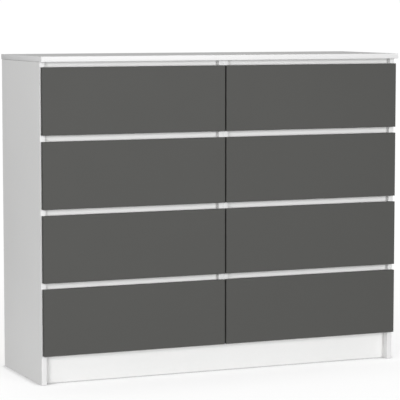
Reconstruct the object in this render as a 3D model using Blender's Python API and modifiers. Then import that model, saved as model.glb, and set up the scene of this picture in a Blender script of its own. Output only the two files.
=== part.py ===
"""Flat-pack dresser: two columns of four drawers on roller runners, in a carcass of laminated board.

Frame: +X to the right, the drawer fronts face -Y and +Z is up. The origin is on the floor, under the
middle of the top panel. Rows are counted from the top.
"""

import math

import bpy
import bmesh
from mathutils import Matrix, Vector

# Driving dimensions, in metres
WIDTH = 1.200
DEPTH = 0.400
HEIGHT = 0.990
ROWS = 4

BOARD = 0.016  # laminated board: carcass and drawer fronts
BOX_BOARD = 0.012  # sides and back of a drawer box
HARDBOARD = 0.003  # back panels and drawer bottoms
STEEL = 0.0012
TOUCHING = 0.0003  # left open between pieces that touch
EDGE_ROUND = 0.0005

TOP_OVER_SIDE = 0.002  # the top panel stands proud of each side panel
TOP_OVER_FRONT = 0.024  # and of the carcass's front edges
BACK_MARGIN = 0.004  # from the outline of the carcass to the edge of the back
PLINTH_SETBACK = 0.027
RAIL_SETBACK = 0.015
RAIL_HEIGHT = 0.060
RAIL_LAP = 0.014  # how far a rail reaches up behind the front above it
SUPPORT_LENGTH = 0.280

FRONT_HEIGHT = 0.203
FRONT_OVER_SIDE = 0.0135  # a front laps this far over the edge of a side panel
FRONT_CLEARANCE = 0.0015  # bumpers keep the fronts off the carcass
SLOT = 0.019  # finger gap between two rows
TOP_SLOT = 0.016

BOX_LENGTH = 0.350
BOX_HEIGHT = 0.120
BOX_RISE = 0.022  # underside of the box above the lower edge of its front
RUNNER_ROOM = 0.0125  # each side of the box
GROOVE_RISE = 0.010
GROOVE_DEPTH = 0.006

CHANNEL_HEIGHT = 0.022  # clear height inside the fixed runner member
CHANNEL_FLANGE = 0.0087
CHANNEL_DROP = 0.002  # floor of the channel below the box
RUNNER_START = 0.002  # behind the carcass's front edges
ROLLER_LUG = 0.022  # front end of the fixed member, where only its web is left for the roller
ROLLER_RADIUS = 0.009
ROLLER_WIDTH = 0.007
ROLLER_PLAY = 0.0003
PIN_RADIUS = 0.003
PIN_REACH = 0.0015  # from the web to the near face of the roller
ROLLER_END = 0.012  # from the end of a member to the middle of its roller
MEMBER_FLANGE = 0.0085
MEMBER_GRIP = 0.0002  # how deep the moving member is pressed into the box
ROLLER_STEPS = 16

# Places that follow from them
FRONT_EDGE = -DEPTH / 2 + TOP_OVER_FRONT
REAR_EDGE = DEPTH / 2 - HARDBOARD
SIDE_FACE = WIDTH / 2 - TOP_OVER_SIDE
BAY_OUTER = SIDE_FACE - BOARD
BAY_INNER = BOARD
BAY_MIDDLE = (BAY_OUTER + BAY_INNER) / 2
BAY_HALF = (BAY_OUTER - BAY_INNER) / 2
FRONT_HALF = BAY_HALF + FRONT_OVER_SIDE
TOP_UNDERSIDE = HEIGHT - BOARD
ROW_PITCH = FRONT_HEIGHT + SLOT
FRONT_BACK = FRONT_EDGE - FRONT_CLEARANCE
BOX_HALF = BAY_HALF - RUNNER_ROOM
SLIDING_FLANGE = 2 * (ROLLER_RADIUS + ROLLER_PLAY) - CHANNEL_DROP  # underside, above the box's
SIDES = {"left": -1, "right": 1}


def front_bottom(row):
    return TOP_UNDERSIDE - TOP_SLOT - FRONT_HEIGHT - (row - 1) * ROW_PITCH


CARCASS_FLOOR = front_bottom(ROWS)  # underside of the bottom panel


def clear_scene():
    for obj in list(bpy.data.objects):
        bpy.data.objects.remove(obj, do_unlink=True)


def collection(name):
    made = bpy.data.collections.new(name)
    bpy.context.scene.collection.children.link(made)
    return made


def material(name, colour, roughness, metallic=0.0):
    made = bpy.data.materials.new(name)
    made.use_nodes = True
    shader = made.node_tree.nodes["Principled BSDF"]
    shader.inputs["Base Color"].default_value = (*colour, 1.0)
    shader.inputs["Roughness"].default_value = roughness
    shader.inputs["Metallic"].default_value = metallic
    return made


def add_object(name, mesh, into, finish=None, location=(0, 0, 0)):
    obj = bpy.data.objects.new(name, mesh)
    obj.location = location
    into.objects.link(obj)
    if finish is not None:
        mesh.materials.clear()
        mesh.materials.append(finish)
    return obj


def block(name, low, high, into, finish=None):
    """A box between two corners, with its origin in its middle."""
    low, high = Vector(low), Vector(high)
    bpy.ops.mesh.primitive_cube_add(size=1, location=(low + high) / 2)
    obj = bpy.context.object
    obj.name = obj.data.name = name
    obj.scale = high - low
    bpy.ops.object.transform_apply(location=False, rotation=False, scale=True)
    for holder in obj.users_collection:
        holder.objects.unlink(obj)
    into.objects.link(obj)
    if finish is not None:
        obj.data.materials.append(finish)
    return obj


def board(name, low, high, into, finish):
    """A block with its edges lightly rounded."""
    obj = block(name, low, high, into, finish)
    bevel = obj.modifiers.new("edges", "BEVEL")
    bevel.width = EDGE_ROUND
    bevel.segments = 1
    return obj


def folded_sheet(name, line, lengths, direction, thickness, into, keep=None):
    """A line of points swept in stages along a direction, as a sheet that thickens to the inside of
    its folds. keep says whether the face with a given centre stays."""
    bm = bmesh.new()
    points = [bm.verts.new(point) for point in line]
    edges = [bm.edges.new(pair) for pair in zip(points, points[1:])]
    for length in lengths:
        swept = bmesh.ops.extrude_edge_only(bm, edges=edges)["geom"]
        edges = [item for item in swept if isinstance(item, bmesh.types.BMEdge)]
        edges = [edge for edge in edges if all(v in swept for v in edge.verts)]
        moved = [item for item in swept if isinstance(item, bmesh.types.BMVert)]
        bmesh.ops.translate(bm, verts=moved, vec=Vector(direction) * length)
    if keep is not None:
        cut = [face for face in bm.faces if not keep(face.calc_center_median())]
        bmesh.ops.delete(bm, geom=cut, context="FACES")
    mesh = bpy.data.meshes.new(name)
    bm.to_mesh(mesh)
    bm.free()
    obj = add_object(name, mesh, into)
    wall = obj.modifiers.new("wall", "SOLIDIFY")
    wall.thickness = thickness
    wall.offset = -1
    wall.use_even_offset = True
    return obj


def roller(name, web, outward, y, z, into):
    """A roller with the pin that rivets it to a web at x = web, turned about the pin's axis. The pin
    is sunk into the web by half the steel."""
    sunk = STEEL / 2
    near = PIN_REACH + sunk
    far = near + ROLLER_WIDTH
    profile = [
        (0, far), (ROLLER_RADIUS, far), (ROLLER_RADIUS, near), (PIN_RADIUS, near), (PIN_RADIUS, 0), (0, 0),
    ]
    bm = bmesh.new()
    points = [bm.verts.new((radius, 0, height)) for radius, height in profile]
    for pair in zip(points, points[1:]):
        bm.edges.new(pair)
    mesh = bpy.data.meshes.new(name)
    bm.to_mesh(mesh)
    bm.free()
    obj = add_object(name, mesh, into, location=(web - outward * sunk, y, z))
    obj.rotation_euler = (0, outward * math.pi / 2, 0)
    turn = obj.modifiers.new("turn", "SCREW")
    turn.axis = "Z"
    turn.steps = turn.render_steps = ROLLER_STEPS
    turn.use_merge_vertices = True
    turn.merge_threshold = 0.00001
    return obj


def boolean(obj, other, operation):
    cut = obj.modifiers.new(other.name, "BOOLEAN")
    cut.operation = operation
    cut.solver = "EXACT"
    cut.object = other


def finished_mesh(obj, name):
    """The object's mesh with its modifiers applied."""
    bpy.context.view_layer.update()
    mesh = bpy.data.meshes.new_from_object(obj.evaluated_get(bpy.context.evaluated_depsgraph_get()))
    mesh.name = name
    mesh.shade_smooth()
    mesh.set_sharp_from_angle(angle=math.radians(30))
    return mesh


def mirrored(mesh, name):
    other = mesh.copy()
    other.name = name
    other.transform(Matrix.Diagonal((-1, 1, 1, 1)))
    other.flip_normals()
    return other


def fixed_member_mesh(cutters):
    """Runner member on the bay wall at +X: a channel open to the drawer, its roller at the front. Its
    origin is in the middle of the bay, on the carcass's front edge, level with the box's underside."""
    web = BAY_HALF - TOUCHING
    tip = web - CHANNEL_FLANGE
    start = RUNNER_START
    base = -CHANNEL_DROP - STEEL
    top = -CHANNEL_DROP + CHANNEL_HEIGHT + STEEL
    section = [(tip, start, base), (web, start, base), (web, start, top), (tip, start, top)]

    def web_or_rear(centre):
        return centre.x > web - CHANNEL_FLANGE / 4 or centre.y > start + ROLLER_LUG

    stages = (ROLLER_LUG, BOX_LENGTH - ROLLER_LUG)
    channel = folded_sheet("fixed_channel", section, stages, (0, 1, 0), STEEL, cutters, web_or_rear)
    axis = -CHANNEL_DROP + ROLLER_PLAY + ROLLER_RADIUS
    wheel = roller("front_roller", web - STEEL, -1, start + ROLLER_END, axis, cutters)
    boolean(channel, wheel, "UNION")
    return finished_mesh(channel, "fixed_member")


def moving_member(cutters):
    """Runner member under the box's side at +X, with its roller at the rear."""
    face = BOX_HALF + STEEL
    inboard = BOX_HALF - BOX_BOARD
    tip = face + MEMBER_FLANGE
    top = SLIDING_FLANGE + STEEL
    grip = STEEL + MEMBER_GRIP
    section = [(inboard, 0, -STEEL), (face, 0, -STEEL), (face, 0, SLIDING_FLANGE)]
    member = folded_sheet("moving_web", section, (BOX_LENGTH,), (0, 1, 0), grip, cutters)
    flange = block("moving_flange", (BOX_HALF, 0, SLIDING_FLANGE), (tip, BOX_LENGTH, top), cutters)
    axis = -CHANNEL_DROP + ROLLER_PLAY + ROLLER_RADIUS
    wheel = roller("rear_roller", face, 1, BOX_LENGTH - ROLLER_END, axis, cutters)
    return member, flange, wheel


def drawer_box_mesh(cutters):
    """Sides and back of a drawer with the moving runner members, the half at +X mirrored. Its origin is
    in the middle of the bay, at the front of the box, level with its underside."""
    past_middle = -0.02
    plan = [(past_middle, BOX_LENGTH, 0), (BOX_HALF, BOX_LENGTH, 0), (BOX_HALF, 0, 0)]
    walls = folded_sheet("box_walls", plan, (BOX_HEIGHT,), (0, 0, 1), BOX_BOARD, cutters)
    groove_reach = BOX_HALF - BOX_BOARD + GROOVE_DEPTH
    groove = block(
        "bottom_groove",
        (-groove_reach, -0.01, GROOVE_RISE),
        (groove_reach, BOX_LENGTH - BOX_BOARD + GROOVE_DEPTH, GROOVE_RISE + HARDBOARD + 2 * TOUCHING),
        cutters,
    )
    boolean(walls, groove, "DIFFERENCE")
    for piece in moving_member(cutters):
        boolean(walls, piece, "UNION")
    mirror = walls.modifiers.new("other_half", "MIRROR")
    mirror.use_bisect_axis[0] = True
    mirror.use_mirror_merge = True
    mirror.merge_threshold = 0.00001
    return finished_mesh(walls, "drawer_box")


def drawer_front_mesh(cutters):
    """A drawer front with the groove for the drawer's bottom. Its origin is in the middle of its
    lower edge, on its rear face."""
    front = board("front_blank", (-FRONT_HALF, -BOARD, 0), (FRONT_HALF, 0, FRONT_HEIGHT), cutters, None)
    groove_reach = BOX_HALF - BOX_BOARD + GROOVE_DEPTH
    groove_low = BOX_RISE + GROOVE_RISE
    groove = block(
        "front_groove",
        (-groove_reach, -GROOVE_DEPTH, groove_low),
        (groove_reach, 0.01, groove_low + HARDBOARD + 2 * TOUCHING),
        cutters,
    )
    boolean(front, groove, "DIFFERENCE")
    mesh = finished_mesh(front, "drawer_front")
    mesh.transform(Matrix.Translation(front.location))
    return mesh


def build_carcass(parts, white, hardboard):
    inner = BAY_OUTER - TOUCHING
    board("top_panel", (-WIDTH / 2, -DEPTH / 2, TOP_UNDERSIDE), (WIDTH / 2, REAR_EDGE, HEIGHT), parts, white)
    board(
        "bottom_panel",
        (-inner, FRONT_EDGE, CARCASS_FLOOR),
        (inner, REAR_EDGE, CARCASS_FLOOR + BOARD),
        parts,
        white,
    )
    plinth_face = FRONT_EDGE + PLINTH_SETBACK
    under = CARCASS_FLOOR - TOUCHING
    board("plinth", (-inner, plinth_face, 0), (inner, plinth_face + BOARD, under), parts, white)
    support_face = plinth_face + BOARD + TOUCHING
    board(
        "centre_support",
        (-BOARD / 2, support_face, 0),
        (BOARD / 2, support_face + SUPPORT_LENGTH, under),
        parts,
        white,
    )
    partition_foot = CARCASS_FLOOR + BOARD + TOUCHING
    for name, hand in SIDES.items():
        low, high = sorted((hand * BAY_OUTER, hand * SIDE_FACE))
        board(
            f"{name}_side_panel",
            (low, FRONT_EDGE, 0),
            (high, REAR_EDGE, TOP_UNDERSIDE - TOUCHING),
            parts,
            white,
        )
        low, high = sorted((hand * TOUCHING / 2, hand * BAY_INNER))
        board(
            f"{name}_partition",
            (low, FRONT_EDGE, partition_foot),
            (high, REAR_EDGE, TOP_UNDERSIDE - TOUCHING),
            parts,
            white,
        )
        low, high = sorted((hand * TOUCHING, hand * (SIDE_FACE - BACK_MARGIN)))
        block(
            f"{name}_back_panel",
            (low, REAR_EDGE + TOUCHING, CARCASS_FLOOR + BACK_MARGIN),
            (high, DEPTH / 2, HEIGHT - BACK_MARGIN),
            parts,
            hardboard,
        )


def build_rails(parts, white):
    """Cross rails behind the slots: one under the top panel and one at each gap between rows."""
    face = FRONT_EDGE + RAIL_SETBACK
    for name, hand in SIDES.items():
        low, high = sorted((hand * (BAY_INNER + TOUCHING), hand * (BAY_OUTER - TOUCHING)))
        for row in range(1, ROWS + 1):
            if row == 1:
                top = TOP_UNDERSIDE - TOUCHING
            else:
                top = front_bottom(row - 1) + RAIL_LAP
            board(
                f"{name}_rail_{row}",
                (low, face, top - RAIL_HEIGHT),
                (high, face + BOARD, top),
                parts,
                white,
            )


def build_runners(parts, cutters, steel):
    """The fixed runner members: one on each wall of each bay, in every row."""
    on_right_wall = fixed_member_mesh(cutters)
    on_left_wall = mirrored(on_right_wall, "fixed_member_mirrored")
    for name, hand in SIDES.items():
        walls = {"outer": hand, "inner": -hand}
        for row in range(1, ROWS + 1):
            place = (hand * BAY_MIDDLE, FRONT_EDGE, front_bottom(row) + BOX_RISE)
            for wall, direction in walls.items():
                mesh = on_right_wall if direction > 0 else on_left_wall
                add_object(f"{name}_runner_{row}_{wall}", mesh, parts, steel, place)


def build_drawers(parts, cutters, graphite, white, hardboard):
    front_mesh = drawer_front_mesh(cutters)
    box_mesh = drawer_box_mesh(cutters)
    bottom_half = BOX_HALF - BOX_BOARD + GROOVE_DEPTH - TOUCHING
    for name, hand in SIDES.items():
        for row in range(1, ROWS + 1):
            drawer = f"{name}_drawer_{row}"
            slide = bpy.data.objects.new(drawer, None)
            slide.location = (hand * BAY_MIDDLE, FRONT_BACK, front_bottom(row))
            slide.empty_display_size = 0.05
            parts.objects.link(slide)
            front = add_object(f"{drawer}_front", front_mesh, parts, graphite)
            box = add_object(f"{drawer}_box", box_mesh, parts, white, (0, TOUCHING, BOX_RISE))
            bottom_low = BOX_RISE + GROOVE_RISE + TOUCHING
            bottom = block(
                f"{drawer}_bottom",
                (-bottom_half, -GROOVE_DEPTH + TOUCHING, bottom_low),
                (bottom_half, BOX_LENGTH - BOX_BOARD + GROOVE_DEPTH, bottom_low + HARDBOARD),
                parts,
                hardboard,
            )
            for piece in (front, box, bottom):
                piece.parent = slide


def main():
    clear_scene()
    parts = collection("dresser")
    cutters = collection("cutters")
    white = material("white_laminate", (0.80, 0.80, 0.79), 0.45)
    graphite = material("graphite_laminate", (0.105, 0.105, 0.098), 0.5)
    hardboard = material("hardboard", (0.70, 0.69, 0.66), 0.6)
    steel = material("coated_steel", (0.78, 0.78, 0.77), 0.35)
    build_carcass(parts, white, hardboard)
    build_rails(parts, white)
    build_runners(parts, cutters, steel)
    build_drawers(parts, cutters, graphite, white, hardboard)
    for helper in cutters.objects:
        helper.hide_render = True
        helper.display_type = "WIRE"


main()
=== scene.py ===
import math

import bmesh
import bpy
from mathutils import Matrix, Vector


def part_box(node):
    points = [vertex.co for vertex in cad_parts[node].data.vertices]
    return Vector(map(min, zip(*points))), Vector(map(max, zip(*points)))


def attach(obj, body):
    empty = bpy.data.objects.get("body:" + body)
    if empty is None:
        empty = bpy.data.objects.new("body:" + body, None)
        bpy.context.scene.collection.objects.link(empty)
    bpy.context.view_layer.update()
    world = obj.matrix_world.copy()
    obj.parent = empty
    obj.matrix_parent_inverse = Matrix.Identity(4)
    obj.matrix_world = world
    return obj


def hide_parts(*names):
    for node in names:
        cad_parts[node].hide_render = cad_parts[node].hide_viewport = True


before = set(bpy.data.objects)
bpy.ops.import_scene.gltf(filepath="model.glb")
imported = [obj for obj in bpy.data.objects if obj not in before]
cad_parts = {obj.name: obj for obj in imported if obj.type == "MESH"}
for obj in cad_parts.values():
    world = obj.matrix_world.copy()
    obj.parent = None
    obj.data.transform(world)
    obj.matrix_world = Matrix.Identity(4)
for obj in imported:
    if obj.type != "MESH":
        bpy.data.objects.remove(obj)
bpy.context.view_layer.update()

# ---- Side panels ------------------------------------------------------------------------------
# Two upright chipboard boards, 16 mm, faced on both sides with white melamine paper, that stand on the
# floor and carry everything else. Sawn to size, with a 1 mm ABS band on the front edge and the others
# left as sawn; the upper outer edge is planed off, which shows as a fine line under the top panel.
SIDES = {"left": -1, "right": 1}
BAND = 0.001
BAND_ROUND = 0.0007
SAWN_ARRIS = 0.0002
RELIEF = 0.0013
SQUARE = 1.5  # radians between two faces, past which their edge counts as a square one
NEAR = 1e-5  # how close two places are taken to be the same
SMOOTH_UNDER = math.radians(35)


def alone(piece):
    """Leaves one piece selected and active."""
    bpy.ops.object.select_all(action="DESELECT")
    piece.select_set(True)
    bpy.context.view_layer.objects.active = piece


def named(piece, name):
    piece.name = piece.data.name = name
    bpy.ops.object.transform_apply(location=True, rotation=True, scale=True)
    return piece


def block(name, low, high):
    """A box between two corners."""
    low, high = Vector(low), Vector(high)
    bpy.ops.object.select_all(action="DESELECT")
    bpy.ops.mesh.primitive_cube_add(size=1, location=(low + high) / 2, scale=high - low)
    return named(bpy.context.object, name)


def picked(piece, kind, test):
    """Opens a piece in edit mode with only the faces or edges that pass the test selected."""
    alone(piece)
    bpy.ops.object.mode_set(mode="EDIT")
    bpy.ops.mesh.select_mode(type=kind)
    bpy.ops.mesh.select_all(action="DESELECT")
    shape = bmesh.from_edit_mesh(piece.data)
    for item in shape.faces if kind == "FACE" else shape.edges:
        if test(item):
            item.select_set(True)
    bmesh.update_edit_mesh(piece.data)


def rounded(piece, radius, segments, test=lambda edge: True):
    """Rounds the edges that pass the test, and notes the new faces as those that hands and cloths rub."""
    mesh = piece.data
    while len(mesh.materials) < 2:
        mesh.materials.append(None)
    picked(piece, "EDGE", test)
    bpy.ops.mesh.bevel(offset=radius, segments=segments, affect="EDGES", material=1)
    bpy.ops.object.mode_set(mode="OBJECT")
    if "worn" not in mesh.attributes:
        mesh.attributes.new("worn", "FLOAT", "FACE")
    for face, worn in zip(mesh.polygons, mesh.attributes["worn"].data):
        worn.value = max(worn.value, float(face.material_index))
        face.material_index = 0
    alone(piece)
    bpy.ops.object.shade_smooth_by_angle(angle=SMOOTH_UNDER)


def wire(tree, kind, feeds=None, **settings):
    """A shader node with its settings, its sockets set or fed from other nodes' outputs."""
    made = tree.nodes.new("ShaderNode" + kind)
    for label, value in settings.items():
        setattr(made, label, value)
    for label, value in (feeds or {}).items():
        if isinstance(value, bpy.types.NodeSocket):
            tree.links.new(value, made.inputs[label])
        else:
            made.inputs[label].default_value = value
    return made


def effect(name, takes, gives):
    """An empty node group: what it takes as {label: start value} and what it gives as {label: kind}."""
    kinds = {float: "Float", tuple: "Color", Vector: "Vector"}
    tree = bpy.data.node_groups.new(name, "ShaderNodeTree")
    for label, start in takes.items():
        kind = "NodeSocket" + kinds[type(start)]
        tree.interface.new_socket(label, in_out="INPUT", socket_type=kind).default_value = start
    for label, kind in gives.items():
        tree.interface.new_socket(label, in_out="OUTPUT", socket_type="NodeSocket" + kind)
    return tree, tree.nodes.new("NodeGroupInput").outputs, tree.nodes.new("NodeGroupOutput").inputs


def noise(tree, place, scale, detail=2.0):
    feeds = {"Vector": place, "Scale": scale, "Detail": detail}
    return wire(tree, "TexNoise", feeds).outputs["Fac"]


def ranged(tree, value, low, high, to_low, to_high):
    """A value spread from one range to another and held inside it."""
    feeds = {"Value": value, 1: low, 2: high, 3: to_low, 4: to_high}
    return wire(tree, "MapRange", feeds).outputs[0]


def maths(tree, operation, first, second=0.0):
    return wire(tree, "Math", {0: first, 1: second}, operation=operation).outputs[0]


def blend(tree, share, first, second, mode="MIX"):
    feeds = {0: share, 6: first, 7: second}
    return wire(tree, "Mix", feeds, data_type="RGBA", blend_type=mode).outputs[2]


def decor_paper():
    """Printed paper under melamine resin: faint clouds from the press, specks, and a fine pearl texture."""
    takes = {"Color": (0.8, 0.8, 0.8, 1.0), "Roughness": 0.5, "Cloud": 0.006, "Speck": 0.02, "Pearl": 700.0}
    makes = {"Color": "Color", "Roughness": "Float", "Height": "Float"}
    tree, given, gives = effect("decor_paper", takes, makes)
    place = wire(tree, "TexCoord").outputs["Object"]
    cloud = noise(tree, place, 5.0, 3.0)
    fine = noise(tree, place, 650.0, 2.0)
    shade = maths(tree, "MULTIPLY", ranged(tree, cloud, 0.35, 0.65, -1.0, 1.0), given["Cloud"])
    speck = maths(tree, "MULTIPLY", ranged(tree, fine, 0.62, 0.75, 0.0, -1.0), given["Speck"])
    level = maths(tree, "ADD", maths(tree, "ADD", shade, speck), 1.0)
    tint = wire(tree, "CombineColor", {0: level, 1: level, 2: level}).outputs[0]
    tree.links.new(blend(tree, 1.0, given["Color"], tint, "MULTIPLY"), gives["Color"])
    sheen = ranged(tree, cloud, 0.35, 0.65, -0.015, 0.015)
    tree.links.new(maths(tree, "ADD", sheen, given["Roughness"]), gives["Roughness"])
    pearl = wire(tree, "TexNoise", {"Vector": place, "Scale": given["Pearl"], "Detail": 1.0})
    tree.links.new(pearl.outputs["Fac"], gives["Height"])
    return tree


def handling():
    """Dull patches where the piece is wiped and gripped, and the colour a little greyer and darker in
    patches over the lowest 10 cm, towards the floor.
    """
    takes = {"Color": (0.8, 0.8, 0.8, 1.0), "Roughness": 0.5, "Marks": 0.02, "Low_Greying": 0.05}
    tree, given, gives = effect("handling", takes, {"Color": "Color", "Roughness": "Float"})
    place = wire(tree, "TexCoord").outputs["Object"]
    patches = ranged(tree, noise(tree, place, 9.0, 4.0), 0.52, 0.7, 0.0, 1.0)
    duller = maths(tree, "MULTIPLY", patches, given["Marks"])
    tree.links.new(maths(tree, "ADD", given["Roughness"], duller), gives["Roughness"])
    # The colour turns a little greyer and darker in patches towards the floor, over its lowest 10 cm.
    height = wire(tree, "SeparateXYZ", {0: place}).outputs["Z"]
    low_down = ranged(tree, height, 0.0, 0.10, 1.0, 0.0)
    uneven = ranged(tree, noise(tree, place, 60.0, 4.0), 0.3, 0.7, 0.3, 1.0)
    low_patches = maths(tree, "MULTIPLY", low_down, uneven)
    share = maths(tree, "MULTIPLY", low_patches, given["Low_Greying"])
    tree.links.new(blend(tree, share, given["Color"], (0.45, 0.43, 0.40, 1.0)), gives["Color"])
    return tree


def edge_wear():
    """Rounded edges rubbed a little paler or darker and smoother, in patches along their length."""
    takes = {"Color": (0.8, 0.8, 0.8, 1.0), "Rubbed": (0.9, 0.9, 0.9, 1.0), "Roughness": 0.5, "Amount": 0.5}
    tree, given, gives = effect("edge_wear", takes, {"Color": "Color", "Roughness": "Float"})
    place = wire(tree, "TexCoord").outputs["Object"]
    edge = wire(tree, "Attribute", attribute_name="worn").outputs["Fac"]
    patches = ranged(tree, noise(tree, place, 38.0, 5.0), 0.42, 0.62, 0.15, 1.0)
    share = maths(tree, "MULTIPLY", maths(tree, "MULTIPLY", edge, patches), given["Amount"])
    tree.links.new(blend(tree, share, given["Color"], given["Rubbed"]), gives["Color"])
    smoother = maths(tree, "MULTIPLY", share, 0.25)
    tree.links.new(maths(tree, "SUBTRACT", given["Roughness"], smoother), gives["Roughness"])
    return tree


DECOR_PAPER, HANDLING, EDGE_WEAR = decor_paper(), handling(), edge_wear()


def placed(tree, group, feeds):
    made = tree.nodes.new("ShaderNodeGroup")
    made.node_tree = group
    for label, value in feeds.items():
        if isinstance(value, bpy.types.NodeSocket):
            tree.links.new(value, made.inputs[label])
        else:
            made.inputs[label].default_value = value
    return made.outputs


def empty_finish(name, specular, metallic=0.0):
    """A new material's tree and its Principled shader, with what is the same all over set on it."""
    material = bpy.data.materials.new(name)
    material.use_nodes = True
    shader = material.node_tree.nodes["Principled BSDF"]
    shader.inputs["Specular IOR Level"].default_value = specular
    shader.inputs["Metallic"].default_value = metallic
    return material, material.node_tree, shader.inputs


def bumped(tree, shader, height, depth):
    bump = wire(tree, "Bump", {"Strength": 1.0, "Distance": depth, "Height": height})
    tree.links.new(bump.outputs["Normal"], shader["Normal"])


def faced(name, colour, rubbed, roughness, specular, pearl, depth, wear):
    """A finish for melamine faces and for the ABS bands that match them."""
    material, tree, shader = empty_finish(name, specular)
    paper = placed(tree, DECOR_PAPER, {"Color": colour, "Roughness": roughness, "Pearl": pearl})
    hands = placed(tree, HANDLING, {"Color": paper["Color"], "Roughness": paper["Roughness"]})
    takes = {"Color": hands["Color"], "Rubbed": rubbed, "Roughness": hands["Roughness"], "Amount": wear}
    worn = placed(tree, EDGE_WEAR, takes)
    tree.links.new(worn["Color"], shader["Base Color"])
    tree.links.new(worn["Roughness"], shader["Roughness"])
    bumped(tree, shader, paper["Height"], depth)
    return material


def chipboard(name, flat_axis):
    """Sawn chipboard: pale and brown flakes lying in the plane of the board, with small open pores."""
    material, tree, shader = empty_finish(name, 0.2)
    place = wire(tree, "TexCoord").outputs["Object"]
    squeeze = [1.0, 1.0, 1.0]
    squeeze[flat_axis] = 3.2
    laid = wire(tree, "Mapping", {"Vector": place, "Scale": squeeze}).outputs[0]
    flakes = wire(tree, "TexVoronoi", {"Vector": laid, "Scale": 330.0})
    shade = wire(tree, "SeparateColor", {0: flakes.outputs["Color"]}).outputs[0]
    body = blend(tree, shade, (0.30, 0.20, 0.11, 1.0), (0.60, 0.44, 0.27, 1.0))
    pores = ranged(tree, noise(tree, laid, 520.0, 3.0), 0.30, 0.42, 0.75, 0.0)
    tree.links.new(blend(tree, pores, body, (0.10, 0.06, 0.03, 1.0)), shader["Base Color"])
    tree.links.new(ranged(tree, shade, 0.0, 1.0, 0.8, 0.95), shader["Roughness"])
    bumped(tree, shader, maths(tree, "SUBTRACT", shade, pores), 0.0004)
    return material


FACE_PEARL, FACE_DEPTH = 900.0, 0.00003
BAND_PEARL, BAND_DEPTH = 1500.0, 0.00001
WHITE_FACE = faced(
    "white_melamine", (0.82, 0.82, 0.815, 1), (0.86, 0.86, 0.85, 1), 0.44, 0.42, FACE_PEARL, FACE_DEPTH, 0.5
)
WHITE_BAND = faced(
    "white_abs_band", (0.78, 0.78, 0.78, 1), (0.9, 0.9, 0.9, 1), 0.42, 0.3, BAND_PEARL, BAND_DEPTH, 0.6
)
CHIPS = [chipboard(f"sawn_chipboard_{'xyz'[axis]}", axis) for axis in range(3)]


def fixed(piece, body, slot, *nodes):
    """Says what a piece moves with and which CAD nodes it stands for; the slot is not used."""
    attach(piece, body)
    if nodes:
        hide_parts(*nodes)
    return piece


def skin(piece, *materials):
    piece.data.materials.clear()
    for material in materials:
        piece.data.materials.append(material)
    return piece


def at(edge, axis, value):
    return all(abs(v.co[axis] - value) < NEAR for v in edge.verts)


def banded(name, box, bands, face, band, relieved=None):
    """A board between two corners: its core, and a band glued on each side of it that is named, such
    as "-y". The first bands run past the ends of the later ones. The core's edges that pass the
    relieved test are planed off."""
    low, high = (Vector(corner) for corner in box)
    thin = min(range(3), key=lambda axis: high[axis] - low[axis])
    strips = []
    for side, words in bands.items():
        axis, outward = "xyz".index(side[1]), side[0] == "+"
        strip_low, strip_high = low.copy(), high.copy()
        face_at = high[axis] if outward else low[axis]
        if outward:
            high[axis] = strip_low[axis] = face_at - BAND
        else:
            low[axis] = strip_high[axis] = face_at + BAND
        strip = block(f"{name}_{words}_band", strip_low, strip_high)
        rounded(strip, BAND_ROUND, 3, lambda edge: at(edge, axis, face_at))
        strips.append(skin(strip, band))
    core = block(f"{name}_board", low, high)
    if relieved:
        picked(core, "EDGE", relieved)
        bpy.ops.mesh.bevel(offset=RELIEF, segments=1, affect="EDGES")
        bpy.ops.object.mode_set(mode="OBJECT")
    rounded(core, SAWN_ARRIS, 1, lambda edge: edge.calc_face_angle() > SQUARE)
    skin(core, face, CHIPS[thin])
    for polygon in core.data.polygons:
        polygon.material_index = int(abs(polygon.normal[thin]) < 0.5)
    return core, strips


def carcass_board(node, bands, relieved=None):
    """A white board in the place of a CAD node, fixed in the carcass. Chosen edges can be relieved."""
    core, strips = banded(node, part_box(node), bands, WHITE_FACE, WHITE_BAND, relieved)
    for strip in strips:
        fixed(strip, "carcass", "white_edge_band", node)
    return fixed(core, "carcass", "white_laminate", node)


for side in SIDES:
    low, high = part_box(f"{side}_side_panel")
    outer = low.x if side == "left" else high.x
    carcass_board(
        f"{side}_side_panel", {"-y": "front"}, lambda edge: at(edge, 0, outer) and at(edge, 2, high.z)
    )

# ---- Partitions, bottom and plinth --------------------------------------------------------------
# Two white boards back to back on the middle line, banded in front, stand on the bottom board. A plinth
# set back between the sides carries the bottom's front, and a short board behind it the bottom's middle.
for side in SIDES:
    carcass_board(f"{side}_partition", {"-y": "front"})
carcass_board("bottom_panel", {"-y": "front"})
carcass_board("plinth", {"-z": "lower"})
carcass_board("centre_support", {"+y": "rear"})

# ---- Cross rails --------------------------------------------------------------------------------
# Eight white boards, 60 mm high, that tie the walls of each bay together behind the finger slots. They
# are banded on the lower edge, which the fingers reach. At each end a zinc cam, let into the rear face
# and turned with a screwdriver, pulls on a bolt in the wall.
ROWS = (1, 2, 3, 4)
CAM_RADIUS = 0.0075
CAM_HOLE_DEPTH = 0.0125
CAM_FROM_END = 0.034
CAM_HEIGHT = 0.0115
CAM_PLAY = 0.0002
CAM_PROUD = 0.00025
CAM_RIM = 0.0014
CAM_SUNK = 0.0004


def cut(piece, tool):
    """Takes the tool's shape away from a piece, and then the tool."""
    alone(piece)
    hole = piece.modifiers.new("hole", "BOOLEAN")
    hole.operation, hole.solver, hole.object = "DIFFERENCE", "EXACT", tool
    bpy.ops.object.modifier_apply(modifier="hole")
    bpy.data.objects.remove(tool)
    return piece


def rod(name, centre, outward, radius, length, sides=24):
    """A round bar, centred on a place and lying along a direction."""
    bpy.ops.object.select_all(action="DESELECT")
    turn = Vector(outward).to_track_quat("Z", "Y").to_euler()
    bpy.ops.mesh.primitive_cylinder_add(
        vertices=sides, radius=radius, depth=length, location=centre, rotation=turn
    )
    return named(bpy.context.object, name)


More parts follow.
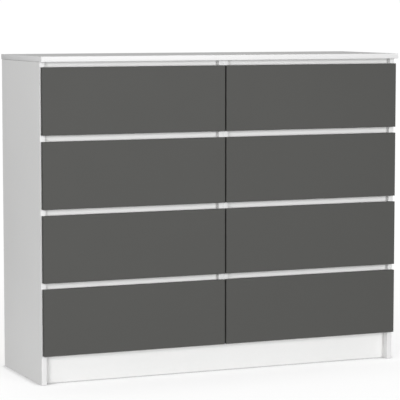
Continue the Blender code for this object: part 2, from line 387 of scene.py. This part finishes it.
def drilled(piece, centre, outward, radius, depth):
    """Bores a blind hole into a face, whose outward direction is given."""
    return cut(piece, rod("drill", centre, outward, radius, 2 * depth))


def cross_recess(piece, top, across, width, depth):
    """Presses a cross for a screwdriver into the face of a head that looks along +Z."""
    for reach in ((across, width), (width, across)):
        low = (-reach[0] / 2, -reach[1] / 2, top - depth)
        high = (reach[0] / 2, reach[1] / 2, top + depth)
        cut(piece, block("driver", low, high))
    return piece


def ringed(piece, top, margin, depth):
    """Sinks the middle of the face at a height, leaving a rim."""
    picked(
        piece, "FACE", lambda face: face.normal.z > 0.9 and abs(face.calc_center_median().z - top) < NEAR
    )
    bpy.ops.mesh.inset(thickness=margin)
    bpy.ops.mesh.extrude_region_move(TRANSFORM_OT_translate={"value": (0, 0, -depth)})
    bpy.ops.object.mode_set(mode="OBJECT")


def copied(piece, name, place):
    """A twin with its own mesh, put in its place by a matrix."""
    twin = piece.copy()
    twin.data = piece.data.copy()
    twin.name = twin.data.name = name
    bpy.context.collection.objects.link(twin)
    twin.data.transform(place)
    if place.determinant() < 0:
        twin.data.flip_normals()
    return twin


def facing(centre, outward):
    """The matrix that stands a piece modelled along +Z on a face."""
    return Matrix.Translation(centre) @ Vector(outward).to_track_quat("Z", "Y").to_matrix().to_4x4()


def cast_zinc():
    """Pressure-cast zinc: dull grey with a cloudy, slightly grainy skin, brighter on worn edges."""
    material, tree, shader = empty_finish("cast_zinc", 0.5, metallic=0.9)
    place = wire(tree, "TexCoord").outputs["Object"]
    cloud = noise(tree, place, 260.0, 4.0)
    clouded = ranged(tree, cloud, 0.35, 0.65, 0.0, 1.0)
    body = blend(tree, clouded, (0.38, 0.38, 0.39, 1), (0.56, 0.56, 0.57, 1))
    worn = placed(tree, EDGE_WEAR, {"Color": body, "Rubbed": (0.8, 0.8, 0.8, 1), "Roughness": 0.42})
    tree.links.new(worn["Color"], shader["Base Color"])
    tree.links.new(worn["Roughness"], shader["Roughness"])
    bumped(tree, shader, noise(tree, place, 2500.0, 2.0), 0.00004)
    return material


ZINC = cast_zinc()
cam = rod("cam", (0, 0, CAM_PROUD - CAM_HEIGHT / 2), (0, 0, 1), CAM_RADIUS - CAM_PLAY, CAM_HEIGHT)
rounded(cam, 0.0004, 2, lambda edge: at(edge, 2, CAM_PROUD))
ringed(cam, CAM_PROUD, CAM_RIM, CAM_SUNK)
cross_recess(cam, CAM_PROUD - CAM_SUNK, across=0.0072, width=0.0016, depth=0.0024)
skin(cam, ZINC)
for side in SIDES:
    for row in ROWS:
        rail = carcass_board(f"{side}_rail_{row}", {"-z": "lower"})
        low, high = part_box(f"{side}_rail_{row}")
        for end, x in {"left": low.x + CAM_FROM_END, "right": high.x - CAM_FROM_END}.items():
            centre = (x, high.y, (low.z + high.z) / 2)
            drilled(rail, centre, (0, 1, 0), CAM_RADIUS, CAM_HOLE_DEPTH)
            turned = copied(cam, f"{side}_rail_{row}_{end}_cam", facing(centre, (0, 1, 0)))
            fixed(turned, "carcass", "zinc_hardware")

# ---- Top panel ----------------------------------------------------------------------------------
# One white board over everything, banded all round: it stands 24 mm proud of the carcass in front, so
# that it covers the drawer fronts, and 2 mm proud of each side.
carcass_board("top_panel", {"-y": "front", "+y": "rear", "-x": "left", "+x": "right"})

# ---- Back ---------------------------------------------------------------------------------------
# Two sheets of 3 mm hardboard nailed on the rear edges, meeting on the partitions. The inner face is
# lacquered white, and the outer one bare, with the print of the wire screen it was pressed on.
NAIL_PITCH = 0.115
NAIL_FROM_EDGE = 0.0075
NAIL_RADIUS = 0.0026
NAIL_PROUD = 0.0004
NAIL_LENGTH = 0.0078


def hardboard():
    """Bare brown hardboard: matted fibres, darker flecks and the fine grid of the press screen."""
    material, tree, shader = empty_finish("bare_hardboard", 0.15)
    place = wire(tree, "TexCoord").outputs["Object"]
    matted = wire(tree, "Mapping", {"Vector": place, "Scale": (1.0, 1.0, 0.45)}).outputs[0]
    fibres = noise(tree, matted, 420.0, 6.0)
    cloud = noise(tree, place, 7.0, 3.0)
    pale = ranged(tree, fibres, 0.3, 0.7, 0.0, 1.0)
    body = blend(tree, pale, (0.25, 0.15, 0.08, 1), (0.50, 0.34, 0.20, 1))
    clouded = blend(tree, ranged(tree, cloud, 0.35, 0.7, 0.0, 0.45), body, (0.31, 0.19, 0.10, 1))
    flecks = ranged(tree, noise(tree, place, 900.0, 2.0), 0.66, 0.74, 0.0, 0.7)
    tree.links.new(blend(tree, flecks, clouded, (0.08, 0.045, 0.02, 1)), shader["Base Color"])
    tree.links.new(ranged(tree, fibres, 0.3, 0.7, 0.75, 0.95), shader["Roughness"])
    mesh = {"Vector": place, "Scale": 190.0}
    across = wire(tree, "TexWave", mesh, bands_direction="X").outputs["Fac"]
    upward = wire(tree, "TexWave", mesh, bands_direction="Z").outputs["Fac"]
    screen = maths(tree, "MULTIPLY", maths(tree, "MAXIMUM", across, upward), 0.5)
    bumped(tree, shader, maths(tree, "ADD", screen, fibres), 0.00012)
    return material


def lacquer():
    """Thin white lacquer over hardboard: the fibres still show through it, faintly."""
    material, tree, shader = empty_finish("lacquered_hardboard", 0.3)
    place = wire(tree, "TexCoord").outputs["Object"]
    fibres = noise(tree, place, 300.0, 5.0)
    shade = ranged(tree, fibres, 0.35, 0.68, 0.0, 1.0)
    tree.links.new(blend(tree, shade, (0.70, 0.69, 0.67, 1), (0.78, 0.78, 0.76, 1)), shader["Base Color"])
    tree.links.new(ranged(tree, fibres, 0.3, 0.7, 0.32, 0.48), shader["Roughness"])
    bumped(tree, shader, fibres, 0.00005)
    return material


def joined(pieces, name):
    """Several small pieces as one."""
    bpy.ops.object.select_all(action="DESELECT")
    for piece in pieces:
        piece.select_set(True)
    bpy.context.view_layer.objects.active = pieces[0]
    bpy.ops.object.join()
    return named(pieces[0], name)


BARE, LACQUERED = hardboard(), lacquer()
nail = rod("nail", (0, 0, NAIL_PROUD - NAIL_LENGTH / 2), (0, 0, 1), NAIL_RADIUS, NAIL_LENGTH, 12)
rounded(nail, 0.0005, 2, lambda edge: at(edge, 2, NAIL_PROUD))
skin(nail, ZINC)
for side in SIDES:
    node = f"{side}_back_panel"
    low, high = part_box(node)
    sheet = block(f"{side}_back_sheet", low, high)
    rounded(sheet, SAWN_ARRIS, 1)
    skin(sheet, BARE, LACQUERED)
    for polygon in sheet.data.polygons:
        polygon.material_index = int(polygon.normal.y < -0.9)
    fixed(sheet, "carcass", "raw_hardboard", node)
    edge_low = (low.x + NAIL_FROM_EDGE, low.z + NAIL_FROM_EDGE)
    edge_high = (high.x - NAIL_FROM_EDGE, high.z - NAIL_FROM_EDGE)
    counts = [round((far - near) / NAIL_PITCH) for near, far in zip(edge_low, edge_high)]
    spots = set()
    for axis in (0, 1):
        for step in range(counts[axis] + 1):
            along = edge_low[axis] + (edge_high[axis] - edge_low[axis]) * step / counts[axis]
            for rim in (edge_low[1 - axis], edge_high[1 - axis]):
                spots.add((along, rim) if axis == 0 else (rim, along))
    nails = [copied(nail, "nail", facing((x, high.y, z), (0, 1, 0))) for x, z in sorted(spots)]
    fixed(joined(nails, f"{side}_back_nails"), "carcass", "zinc_hardware")

# ---- Fixed runner members -----------------------------------------------------------------------
# Sixteen channels of 1.2 mm steel, rolled, punched and coated with white epoxy, each held to a wall by
# three screws. A nylon roller turns on a pin riveted to the lug at the front end of each.
STEEL = 0.0012
FOLD = 0.0011
FLANGE = 0.0087
LUG = 0.022
LUG_ROUND = 0.006
ROLLER_RADIUS = 0.009
ROLLER_WIDTH = 0.007
ROLLER_FROM_END = 0.012
ROLLER_HEIGHT = 0.0093  # of its axis, above the running face
PIN_GAP = 0.0015
PIN_RADIUS = 0.003
RIVET = 0.0006
HUB_RIM, HUB_SUNK = 0.0022, 0.0010
SCREWS_AT = (0.045, 0.175, 0.320)
SCREW_RADIUS = 0.0034
SCREW_HOLE = (0.0036, 0.003)  # radius and depth
SCREW_PROUD = 0.0006
SCREW_LENGTH = 0.0092


def coated_steel():
    """White epoxy coat with a slight orange peel, rubbed through to grey along the running faces."""
    material, tree, shader = empty_finish("coated_steel", 0.45)
    place = wire(tree, "TexCoord").outputs["Object"]
    streaked = wire(tree, "Mapping", {"Vector": place, "Scale": (1.0, 0.06, 1.0)}).outputs[0]
    streaks = ranged(tree, noise(tree, streaked, 1400.0, 3.0), 0.48, 0.6, 0.0, 1.0)
    facing_up = wire(tree, "SeparateXYZ", {0: wire(tree, "NewGeometry").outputs["Normal"]}).outputs["Z"]
    running = ranged(tree, maths(tree, "ABSOLUTE", facing_up), 0.9, 0.98, 0.0, 0.8)
    track = maths(tree, "MULTIPLY", running, streaks)
    base = (0.74, 0.74, 0.72, 1)
    worn = placed(tree, EDGE_WEAR, {"Color": base, "Rubbed": (0.45, 0.45, 0.45, 1), "Roughness": 0.35})
    tree.links.new(blend(tree, track, worn["Color"], (0.33, 0.33, 0.34, 1)), shader["Base Color"])
    polish = maths(tree, "MULTIPLY", track, 0.1)
    tree.links.new(maths(tree, "SUBTRACT", worn["Roughness"], polish), shader["Roughness"])
    tree.links.new(maths(tree, "MULTIPLY", track, 0.8), shader["Metallic"])
    bumped(tree, shader, noise(tree, place, 600.0, 1.0), 0.00003)
    return material


def nylon():
    """Moulded natural nylon: milky, with faint flow marks and a greyed tread."""
    material, tree, shader = empty_finish("moulded_nylon", 0.4)
    place = wire(tree, "TexCoord").outputs["Object"]
    flow = noise(tree, place, 160.0, 3.0)
    body = blend(tree, ranged(tree, flow, 0.3, 0.7, 0.0, 1.0), (0.62, 0.61, 0.57, 1), (0.72, 0.71, 0.67, 1))
    takes = {"Color": body, "Rubbed": (0.4, 0.4, 0.39, 1), "Roughness": 0.45, "Amount": 0.7}
    worn = placed(tree, EDGE_WEAR, takes)
    tree.links.new(worn["Color"], shader["Base Color"])
    tree.links.new(worn["Roughness"], shader["Roughness"])
    bumped(tree, shader, flow, 0.00005)
    return material


def folded(piece, folds):
    """Rounds the folds of a sheet and gives it the thickness of the steel, half to each side."""
    rounded(piece, FOLD, 3, folds)
    wall = piece.modifiers.new("wall", "SOLIDIFY")
    wall.thickness, wall.offset, wall.use_even_offset = STEEL, 0, True
    bpy.ops.object.modifier_apply(modifier="wall")
    return piece


def upright_strip(name, x, reach, levels):
    """A flat strip, still without thickness, that stands across X from one y to another."""
    bpy.ops.object.select_all(action="DESELECT")
    bpy.ops.mesh.primitive_plane_add(
        size=1, location=(x, sum(reach) / 2, sum(levels) / 2), rotation=(0, math.pi / 2, 0)
    )
    strip = bpy.context.object
    strip.scale = (levels[1] - levels[0], reach[1] - reach[0], 1)
    return named(strip, name)


def pull(piece, test, move):
    """Draws out the edges that pass the test."""
    picked(piece, "EDGE", test)
    bpy.ops.mesh.extrude_region_move(TRANSFORM_OT_translate={"value": move})
    bpy.ops.object.mode_set(mode="OBJECT")


def roller(name, near, outward, y, z):
    """A roller with a raised hub in a sunk face; near is where its face nearer the steel is."""
    wheel = rod(name, (0, 0, 0), (0, 0, 1), ROLLER_RADIUS, ROLLER_WIDTH, 32)
    half = ROLLER_WIDTH / 2
    rounded(wheel, 0.0006, 2, lambda edge: all(abs(abs(v.co.z) - half) < NEAR for v in edge.verts))
    ringed(wheel, half, HUB_RIM, HUB_SUNK)
    ringed(wheel, half - HUB_SUNK, 0.0016, -0.0006)
    wheel.data.transform(facing((near + outward * ROLLER_WIDTH / 2, y, z), (outward, 0, 0)))
    return skin(wheel, NYLON)


def pin(name, start, end, y, z):
    """The pin of a roller, riveted at its free end."""
    outward = 1 if end > start else -1
    shank = rod(name, ((start + end) / 2, y, z), (outward, 0, 0), PIN_RADIUS, abs(end - start), 20)
    rounded(shank, RIVET, 2, lambda edge: at(edge, 0, end))
    return skin(shank, ZINC)


COATED, NYLON = coated_steel(), nylon()
screw = rod("screw", (0, 0, SCREW_PROUD - SCREW_LENGTH / 2), (0, 0, 1), SCREW_RADIUS, SCREW_LENGTH, 20)
picked(screw, "FACE", lambda face: face.normal.z < -0.9)
bpy.ops.transform.resize(value=(0.3, 0.3, 1.0))
bpy.ops.object.mode_set(mode="OBJECT")
rounded(screw, 0.0004, 2, lambda edge: at(edge, 2, SCREW_PROUD))
cross_recess(screw, SCREW_PROUD, across=0.0040, width=0.0009, depth=0.0012)
skin(screw, ZINC)

low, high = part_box("left_runner_1_inner")
web = high.x - STEEL / 2
inner_face = high.x - STEEL
bottom, top = low.z + STEEL / 2, high.z - STEEL / 2
axis_y, axis_z = low.y + ROLLER_FROM_END, low.z + STEEL + ROLLER_HEIGHT
channel = upright_strip("member", web, (low.y + LUG, high.y), (bottom, top))

for level in (bottom, top):
    pull(channel, lambda edge: at(edge, 2, level) and at(edge, 0, web), (STEEL / 2 - FLANGE, 0, 0))
pull(channel, lambda edge: at(edge, 1, low.y + LUG) and at(edge, 0, web), (0, -LUG, 0))
picked(channel, "EDGE", lambda edge: at(edge, 1, low.y))
bpy.ops.mesh.bevel(offset=LUG_ROUND, segments=4, affect="VERTICES")
bpy.ops.object.mode_set(mode="OBJECT")
folded(
    channel,
    lambda edge: at(edge, 0, web) and (at(edge, 2, bottom) or at(edge, 2, top)) and edge.is_manifold,
)
fastened = []
for along in SCREWS_AT:
    centre = (inner_face, low.y + along, axis_z)
    drilled(channel, centre, (1, 0, 0), *SCREW_HOLE)
    fastened.append(copied(screw, "screw", facing(centre, (-1, 0, 0))))
runner_parts = [
    (skin(channel, COATED), "coated_steel"),
    (roller("roller", inner_face - PIN_GAP, -1, axis_y, axis_z), "roller_nylon"),
    (pin("pin", inner_face, inner_face - PIN_GAP - ROLLER_WIDTH - RIVET, axis_y, axis_z), "zinc_hardware"),
    (joined(fastened, "screws"), "zinc_hardware"),
]
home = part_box("left_runner_1_inner")
for side in SIDES:
    for row in ROWS:
        for wall in ("inner", "outer"):
            node = f"{side}_runner_{row}_{wall}"
            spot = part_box(node)
            place = Matrix.Translation(spot[1] - home[1])
            if (side == "left") != (wall == "inner"):
                mirror = Matrix.Diagonal((-1, 1, 1, 1))
                place = Matrix.Translation((spot[0].x + home[1].x, 0, spot[1].z - home[1].z)) @ mirror
            for part, slot in runner_parts:
                fixed(copied(part, f"{node}_{part.name}", place), "carcass", slot, node)
for part, slot in runner_parts:
    bpy.data.objects.remove(part)

# ---- Drawer boxes -------------------------------------------------------------------------------
# Two sides and a back of 12 mm white board, banded on top, and a hardboard bottom lacquered on its upper
# face that slides into grooves. Screws through the sides hold the back, and a cam in each side the front.
BOX_BOARD = 0.012
BOX_HEIGHT = 0.120
BOX_SIDE_ROOM = 0.0097  # from the outer face of a side to the far face of its roller
GROOVE = (0.0100, 0.0136)  # its lower and upper face, above the foot of the board
GROOVE_DEPTH = 0.006
BOX_CAM = (0.070, 0.0105)  # height in the box, and depth of its hole
BOX_SCREWS_AT = (0.035, 0.090)
BOX_SCREW_SUNK = 0.0004
BOX_FACE = faced(
    "drawer_board", (0.76, 0.76, 0.75, 1), (0.8, 0.8, 0.8, 1), 0.55, 0.25, FACE_PEARL, FACE_DEPTH, 0.5
)
BOX_BAND = faced(
    "drawer_board_band", (0.78, 0.78, 0.77, 1), (0.85, 0.85, 0.85, 1), 0.45, 0.3, BAND_PEARL, BAND_DEPTH, 0.5
)

low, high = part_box("left_drawer_1_box")
middle = (low.x + high.x) / 2
outer = (high.x - low.x) / 2 - BOX_SIDE_ROOM
inner = outer - BOX_BOARD
base = high.z - BOX_HEIGHT
groove_tool = (
    (middle - inner - GROOVE_DEPTH, low.y - 0.01, base + GROOVE[0]),
    (middle + inner + GROOVE_DEPTH, high.y - BOX_BOARD + GROOVE_DEPTH, base + GROOVE[1]),
)
drawer_parts = []
for side, hand in SIDES.items():
    near, far = sorted((middle + hand * inner, middle + hand * outer))
    box = ((near, low.y, base), (far, high.y, high.z))
    board, strips = banded(f"{side}_box_side", box, {"+z": "upper"}, BOX_FACE, BOX_BAND)
    cut(board, block("groove", *groove_tool))
    cam_at = (middle + hand * inner, low.y + CAM_FROM_END, base + BOX_CAM[0])
    drilled(board, cam_at, (-hand, 0, 0), CAM_RADIUS, BOX_CAM[1])
    drawer_parts += [(board, "drawer_board", "box")] + [(strip, "drawer_board", "box") for strip in strips]
    turned = copied(cam, f"{side}_cam", facing(cam_at, (-hand, 0, 0)))
    heads = []
    for lift in BOX_SCREWS_AT:
        head_at = Vector((middle + hand * outer, high.y - BOX_BOARD / 2, base + lift))
        drilled(board, head_at, (hand, 0, 0), *SCREW_HOLE)
        head_at.x -= hand * BOX_SCREW_SUNK
        heads.append(copied(screw, "screw", facing(head_at, (hand, 0, 0))))
    drawer_parts.append((turned, "zinc_hardware", "box"))
    drawer_parts.append((joined(heads, f"{side}_box_screws"), "zinc_hardware", "box"))
box = ((middle - inner, high.y - BOX_BOARD, base), (middle + inner, high.y, high.z))
board, strips = banded("box_back", box, {"+z": "upper"}, BOX_FACE, BOX_BAND)
cut(board, block("groove", *groove_tool))
drawer_parts += [(board, "drawer_board", "box")] + [(strip, "drawer_board", "box") for strip in strips]
sheet = block("bottom_sheet", *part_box("left_drawer_1_bottom"))
rounded(sheet, SAWN_ARRIS, 1)
skin(sheet, BARE, LACQUERED)
for polygon in sheet.data.polygons:
    polygon.material_index = int(polygon.normal.z > 0.9)
drawer_parts.append((sheet, "hardboard", "bottom"))

# ---- Drawer runner members ----------------------------------------------------------------------
# A folded steel member under each side of a box, coated like the fixed ones, screwed from below. Its
# roller turns at the rear end and runs in the channel, and its upper flange slides on the front roller.
MEMBER_FLANGE = 0.0085
CHANNEL_DROP = 0.002  # from the foot of the box down to the floor of the channel
TAIL = 0.0002  # of the pin, past the roller
sliding = base + 2 * ROLLER_HEIGHT - CHANNEL_DROP
for side, hand in SIDES.items():
    web = middle + hand * (outer + STEEL / 2)
    low_level, high_level = base - STEEL / 2, sliding + STEEL / 2
    member = upright_strip(f"{side}_member", web, (low.y, high.y), (low_level, high_level))
    for level, flange in ((low_level, -BOX_BOARD), (high_level, MEMBER_FLANGE)):
        reach = hand * (flange + math.copysign(STEEL / 2, flange))
        pull(member, lambda edge: at(edge, 2, level) and at(edge, 0, web), (reach, 0, 0))
    folded(member, lambda edge: at(edge, 0, web) and (at(edge, 2, low_level) or at(edge, 2, high_level)))
    fastened = []
    for along in SCREWS_AT:
        centre = (middle + hand * (outer - BOX_BOARD / 2), low.y + along, base - STEEL)
        drilled(member, centre, (0, 0, -1), *SCREW_HOLE)
        fastened.append(copied(screw, "screw", facing(centre, (0, 0, -1))))
    face = middle + hand * (outer + STEEL)
    axis_y, axis_z = high.y - ROLLER_FROM_END, base + ROLLER_HEIGHT - CHANNEL_DROP
    pin_end = face + hand * (PIN_GAP + ROLLER_WIDTH + TAIL)
    drawer_parts += [
        (skin(member, COATED), "coated_steel", "box"),
        (roller(f"{side}_roller", face + hand * PIN_GAP, hand, axis_y, axis_z), "roller_nylon", "box"),
        (pin(f"{side}_pin", face, pin_end, axis_y, axis_z), "zinc_hardware", "box"),
        (joined(fastened, f"{side}_member_screws"), "zinc_hardware", "box"),
    ]

# ---- Drawer fronts ------------------------------------------------------------------------------
# Eight 16 mm chipboard fronts faced with graphite-grey melamine and banded all round in the same
# colour. A groove in the rear face takes the drawer's bottom, and four clear bumpers meet the carcass.
GRAPHITE = (0.077, 0.077, 0.073, 1)
BUMPER_FROM_EDGE = (0.0065, 0.012)  # sideways and upright
BUMPER_RADIUS = 0.004
BUMPER_HEIGHT = 0.0013


def clear_plastic():
    """Soft clear polyurethane: faintly milky, with a tacky, uneven gloss."""
    material, tree, shader = empty_finish("clear_bumper", 0.4)
    place = wire(tree, "TexCoord").outputs["Object"]
    haze = noise(tree, place, 500.0, 3.0)
    tree.links.new(blend(tree, haze, (0.72, 0.73, 0.72, 1), (0.86, 0.87, 0.86, 1)), shader["Base Color"])
    tree.links.new(ranged(tree, haze, 0.3, 0.7, 0.15, 0.35), shader["Roughness"])
    shader["Transmission Weight"].default_value = 0.6
    bumped(tree, shader, haze, 0.00003)
    return material


GRAPHITE_FACE = faced(
    "graphite_melamine", GRAPHITE, (0.14, 0.14, 0.135, 1), 0.55, 0.2, FACE_PEARL, FACE_DEPTH, 0.5
)
GRAPHITE_BAND = faced(
    "graphite_abs_band", GRAPHITE, (0.13, 0.13, 0.125, 1), 0.5, 0.2, BAND_PEARL, BAND_DEPTH, 0.5
)
bands = {"-z": "lower", "+z": "upper", "-x": "left", "+x": "right"}
low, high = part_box("left_drawer_1_front")
board, strips = banded("front", (low, high), bands, GRAPHITE_FACE, GRAPHITE_BAND)
groove_low, groove_high = (Vector(corner) for corner in groove_tool)
groove_low.y, groove_high.y = high.y - GROOVE_DEPTH, high.y + 0.01
cut(board, block("groove", groove_low, groove_high))
drawer_parts += [(board, "graphite_laminate", "front")]
drawer_parts += [(strip, "graphite_edge_band", "front") for strip in strips]
bumper = rod("bumper", (0, 0, BUMPER_HEIGHT / 2), (0, 0, 1), BUMPER_RADIUS, BUMPER_HEIGHT, 20)
rounded(bumper, 0.0006, 3, lambda edge: at(edge, 2, BUMPER_HEIGHT))
skin(bumper, clear_plastic())
soft_stops = [
    copied(bumper, "bumper", facing((x, high.y, z), (0, 1, 0)))
    for x in (low.x + BUMPER_FROM_EDGE[0], high.x - BUMPER_FROM_EDGE[0])
    for z in (low.z + BUMPER_FROM_EDGE[1], high.z - BUMPER_FROM_EDGE[1])
]
drawer_parts.append((joined(soft_stops, "bumpers"), "clear_bumper", "front"))

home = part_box("left_drawer_1_front")
for side in SIDES:
    for row in ROWS:
        drawer = f"{side}_drawer_{row}"
        place = Matrix.Translation(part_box(f"{drawer}_front")[0] - home[0])
        for part, slot, node in drawer_parts:
            fixed(copied(part, f"{drawer}_{part.name}", place), drawer, slot, f"{drawer}_{node}")
for piece in [part[0] for part in drawer_parts] + [cam, nail, screw, bumper]:
    bpy.data.objects.remove(piece)

# ---- Floor, light and camera --------------------------------------------------------------------
# A pale floor that runs out into a white room, with a painted shadow that darkens it close under and around
# the dresser. Two large soft lamps in front, one to each side, weaker ones on the left, right, behind and
# above, and light all round.
NEAR_FLOOR, FAR_FLOOR = 1.0, 3.2
CONTACT, AROUND = 0.045, 0.3  # how far the painted shadow reaches from a board across the floor, sharply and softly
ROOM_LIGHT, ROOM_SEEN = 0.36, 1.02
bpy.ops.object.select_all(action="DESELECT")
bpy.ops.mesh.primitive_circle_add(vertices=96, radius=14, fill_type="NGON", location=(0, 0, -0.0003))
floor = named(bpy.context.object, "studio_floor")
material, tree, shader = empty_finish("studio_floor", 0.0)
place = wire(tree, "TexCoord").outputs["Object"]
reach = wire(tree, "VectorMath", {0: place}, operation="LENGTH").outputs["Value"]
far = ranged(tree, reach, NEAR_FLOOR, FAR_FLOOR, 0.0, 1.0)
grain = ranged(tree, noise(tree, place, 240.0, 2.0), 0.3, 0.7, 0.41, 0.43)
tree.links.new(blend(tree, far, grain, (0.0, 0.0, 0.0, 1.0)), shader["Base Color"])
# Painted shadow: ambient occlusion dims the floor's glow, sharply right under the boards and softly around
# them, standing in for the shade the dresser casts.
contact = wire(tree, "AmbientOcclusion", {"Distance": CONTACT}, samples=8).outputs["AO"]
around = wire(tree, "AmbientOcclusion", {"Distance": AROUND}, samples=8).outputs["AO"]
painted_contact_shadow = ranged(tree, contact, 0.5, 0.8, 0.26, 0.685)
glow_under_painted_shadow = maths(tree, "MULTIPLY", painted_contact_shadow, ranged(tree, around, 0.5, 1.0, 0.93, 1.0))
shining = wire(tree, "Mix", {0: far, 2: glow_under_painted_shadow, 3: ROOM_SEEN}).outputs[0]
seen = wire(tree, "LightPath").outputs["Is Camera Ray"]
tree.links.new(maths(tree, "MULTIPLY", shining, seen), shader["Emission Strength"])
shader["Emission Color"].default_value = (1, 1, 1, 1)
shader["Roughness"].default_value = 0.9
skin(floor, material)

world = bpy.data.worlds.new("white_room")
bpy.context.scene.world = world
world.use_nodes = True
tree = world.node_tree
seen = wire(tree, "LightPath").outputs["Is Camera Ray"]
room = tree.nodes["Background"].inputs
room["Color"].default_value = (1, 1, 1, 1)
tree.links.new(ranged(tree, seen, 0.0, 1.0, ROOM_LIGHT, ROOM_SEEN), room["Strength"])


def softbox(name, size, power, place, mirrored=True):
    """A round soft lamp that looks at the middle of the dresser, mirrored in glossy faces or not."""
    lamp = bpy.data.lights.new(name, "AREA")
    lamp.shape, lamp.size, lamp.energy = "DISK", size, power
    holder = bpy.data.objects.new(name, lamp)
    bpy.context.collection.objects.link(holder)
    holder.location = place
    holder.visible_glossy = mirrored
    holder.rotation_euler = (Vector((0, 0, 0.5)) - holder.location).to_track_quat("-Z", "Y").to_euler()


softbox("front_softbox", 2.6, 154, (1.6, -5.5, 1.2))
softbox("front_left_softbox", 2.6, 184, (-4.2, -4.9, 1.3))
softbox("left_softbox", 2.0, 43, (-4.3, -1.3, 2.5))
softbox("right_softbox", 2.0, 45, (4.4, 0.6, 1.2), mirrored=False)
softbox("rear_softbox", 0.9, 60, (0.8, 4.4, 0.5), mirrored=False)
softbox("upper_softbox", 2.6, 12, (0.0, -0.3, 4.2), mirrored=False)

camera = bpy.data.cameras.new("camera")
camera.sensor_width = 36
camera.lens = 174.27
camera.clip_start, camera.clip_end = 0.1, 60
viewer = bpy.data.objects.new("camera", camera)
bpy.context.collection.objects.link(viewer)
viewer.location = (-2.4224, -5.6594, 1.1166)
viewer.rotation_euler = (math.radians(90 - 5.498), 0, math.radians(-23.134))
bpy.context.scene.camera = viewer
bpy.context.scene.view_settings.view_transform = "Standard"
